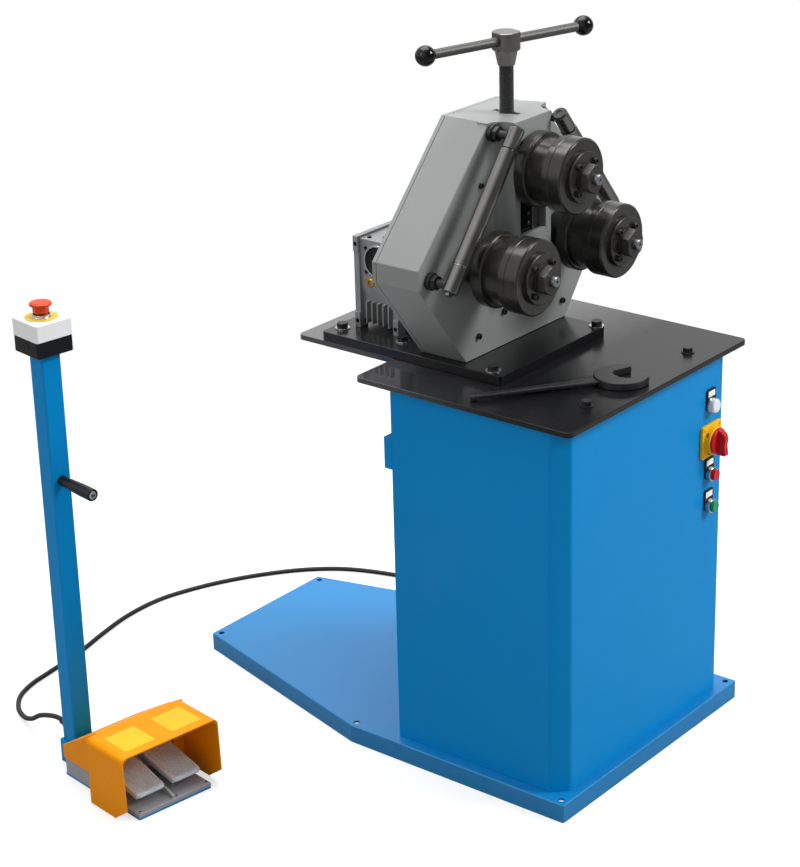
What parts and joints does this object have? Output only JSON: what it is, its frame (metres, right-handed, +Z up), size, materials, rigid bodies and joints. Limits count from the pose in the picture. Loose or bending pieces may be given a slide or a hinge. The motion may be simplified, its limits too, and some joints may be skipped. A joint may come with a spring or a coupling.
{
  "type": "ring roller",
  "caption": "Motorised section bender: geared roller head with a screw-set top roller on a sheet-metal cabinet, with a floor pedestal holding a stop button and a guarded foot switch.",
  "frame": {"origin": "on the floor, under the middle of the cabinet", "axes": "+Z up, +X to the operator's right, -Y towards the operator, who faces the rollers"},
  "size_m": [1.143, 1.2434, 1.329],
  "materials": {
    "blue_paint": "smooth gloss",
    "grey_paint": "satin",
    "black_paint": "gloss",
    "roller_steel": "hardened, oiled, dark",
    "dark_steel": "blackened",
    "bright_steel": "machined",
    "gear_steel": "machined",
    "bronze": "machined",
    "cast_aluminium": "cast",
    "motor_paint": "satin",
    "black_plastic": "satin",
    "white_plastic": "satin",
    "clear_plastic": "clear lens",
    "red_plastic": "gloss",
    "green_plastic": "gloss",
    "yellow_plastic": "satin",
    "orange_paint": "satin",
    "pedal_grey": "satin",
    "cord_rubber": "matt"
  },
  "bodies": {
    "machine": {"base_frame": "blue_paint", "cabinet_shell": "blue_paint", "control_gear": "cast_aluminium", "table_top": "black_paint", "head_base_plate": "black_paint", "head_casing": "grey_paint", "head_rear_cover": "grey_paint", "screw_nut": "bronze", "left_bearing": "dark_steel", "right_bearing": "dark_steel", "gearbox_housing": "cast_aluminium", "motor_body": "motor_paint", "motor_fan_cover": "motor_paint", "left_upper_post": "dark_steel", "left_lower_post": "dark_steel", "right_upper_post": "dark_steel", "right_lower_post": "dark_steel", "indicator_lamp": "clear_plastic", "red_button_body": "black_plastic", "green_button_body": "black_plastic", "switch_plate": "yellow_plastic", "foot_plate": "blue_paint", "post": "blue_paint", "grip_screw": "bright_steel", "stop_box_base": "black_plastic", "stop_box_lid": "white_plastic", "foot_switch_base": "pedal_grey", "pedal_guard": "orange_paint", "post_gland": "black_plastic", "cabinet_gland": "black_plastic", "mains_gland": "black_plastic", "signal_cord": "cord_rubber"},
    "slide": {"slide_block": "dark_steel"},
    "screw": {"adjusting_screw": "dark_steel", "handle_bar": "dark_steel"},
    "top_roller": {"top_shaft": "dark_steel", "top_rear_roller": "roller_steel", "top_front_roller": "roller_steel", "top_shaft_nut": "dark_steel"},
    "left_roller": {"left_shaft": "dark_steel", "left_rear_roller": "roller_steel", "left_front_roller": "roller_steel", "left_shaft_nut": "dark_steel"},
    "right_roller": {"right_shaft": "dark_steel", "right_rear_roller": "roller_steel", "right_front_roller": "roller_steel", "right_shaft_nut": "dark_steel"},
    "idler": {"idler_gear": "gear_steel"},
    "pinion": {"drive_pinion": "gear_steel"},
    "left_sleeve": {"left_guide_sleeve": "dark_steel"},
    "right_sleeve": {"right_guide_sleeve": "dark_steel"},
    "red_push": {"red_button": "red_plastic"},
    "green_push": {"green_button": "green_plastic"},
    "main_switch": {"switch_knob": "red_plastic"},
    "stop_push": {"stop_button": "red_plastic"},
    "left_pedal": {"left_treadle": "pedal_grey"},
    "right_pedal": {"right_treadle": "pedal_grey"},
    "grip": {"post_grip": "black_plastic"},
    "door": {"cabinet_door": "blue_paint"},
    "wrench": {"spanner": "dark_steel"}
  },
  "joints": [
    {"name": "slide_travel", "type": "slide", "parent": "machine", "child": "slide", "axis": [0, 0, 1], "range_m": [-0.08, 0.015]},
    {"name": "screw_turn", "type": "hinge", "parent": "slide", "child": "screw", "pos_m": [0, 0.123, 1.2], "axis": [0, 0, 1], "range_deg": [-5760, 1080]},
    {"name": "top_roller_turn", "type": "hinge", "parent": "slide", "child": "top_roller", "pos_m": [0, 0, 1.092], "axis": [0, 1, 0], "continuous": true},
    {"name": "left_roller_turn", "type": "hinge", "parent": "machine", "child": "left_roller", "pos_m": [-0.127, 0, 0.942], "axis": [0, 1, 0], "continuous": true},
    {"name": "right_roller_turn", "type": "hinge", "parent": "machine", "child": "right_roller", "pos_m": [0.127, 0, 0.942], "axis": [0, 1, 0], "continuous": true},
    {"name": "idler_turn", "type": "hinge", "parent": "machine", "child": "idler", "pos_m": [0, 0.178, 0.90601], "axis": [0, 1, 0], "continuous": true},
    {"name": "pinion_turn", "type": "hinge", "parent": "machine", "child": "pinion", "pos_m": [-0.04, 0.178, 0.83215], "axis": [0, 1, 0], "continuous": true},
    {"name": "left_sleeve_turn", "type": "hinge", "parent": "machine", "child": "left_sleeve", "pos_m": [-0.072, 0.054, 1.1655], "axis": [-0.6305, 0, -0.7762], "continuous": true},
    {"name": "right_sleeve_turn", "type": "hinge", "parent": "machine", "child": "right_sleeve", "pos_m": [0.072, 0.054, 1.1655], "axis": [0.6305, 0, -0.7762], "continuous": true},
    {"name": "red_button_press", "type": "slide", "parent": "machine", "child": "red_push", "axis": [0, 1, 0], "range_m": [0, 0.004], "stiffness_N_per_m": 300, "springref_m": -0.003},
    {"name": "green_button_press", "type": "slide", "parent": "machine", "child": "green_push", "axis": [0, 1, 0], "range_m": [0, 0.004], "stiffness_N_per_m": 300, "springref_m": -0.003},
    {"name": "main_switch_turn", "type": "hinge", "parent": "machine", "child": "main_switch", "pos_m": [0.199, -0.2, 0.57], "axis": [0, 1, 0], "range_deg": [0, 90]},
    {"name": "stop_press", "type": "slide", "parent": "machine", "child": "stop_push", "axis": [0, 0, -1], "range_m": [0, 0.006], "stiffness_N_per_m": 400, "springref_m": -0.004},
    {"name": "left_pedal_press", "type": "hinge", "parent": "machine", "child": "left_pedal", "pos_m": [-0.66749, 0.52361, 0.05], "axis": [0.9877, -0.1564, 0], "range_deg": [0, 8], "stiffness_Nm_per_rad": 4, "springref_deg": -14.32},
    {"name": "right_pedal_press", "type": "hinge", "parent": "machine", "child": "right_pedal", "pos_m": [-0.66749, 0.52361, 0.05], "axis": [0.9877, -0.1564, 0], "range_deg": [0, 8], "stiffness_Nm_per_rad": 4, "springref_deg": -14.32},
    {"name": "grip_turn", "type": "hinge", "parent": "machine", "child": "grip", "pos_m": [-0.647, 0.653, 0.58], "axis": [0.1564, 0.9877, 0], "continuous": true},
    {"name": "door_swing", "type": "hinge", "parent": "machine", "child": "door", "pos_m": [0.2343, 0.1943, 0.386], "axis": [0, 0, -1], "range_deg": [0, 110]},
    {"name": "spanner_lift", "type": "slide", "parent": "machine", "child": "wrench", "axis": [0, 0, 1], "range_m": [0, 0.1]}
  ],
  "couplings": [
    {"joint": "slide_travel", "follows": "screw_turn", "m_per_rad": 0.00079577},
    {"joint": "right_roller_turn", "follows": "left_roller_turn", "ratio": 1},
    {"joint": "idler_turn", "follows": "left_roller_turn", "ratio": -1.75},
    {"joint": "pinion_turn", "follows": "left_roller_turn", "ratio": 2.3333}
  ]
}
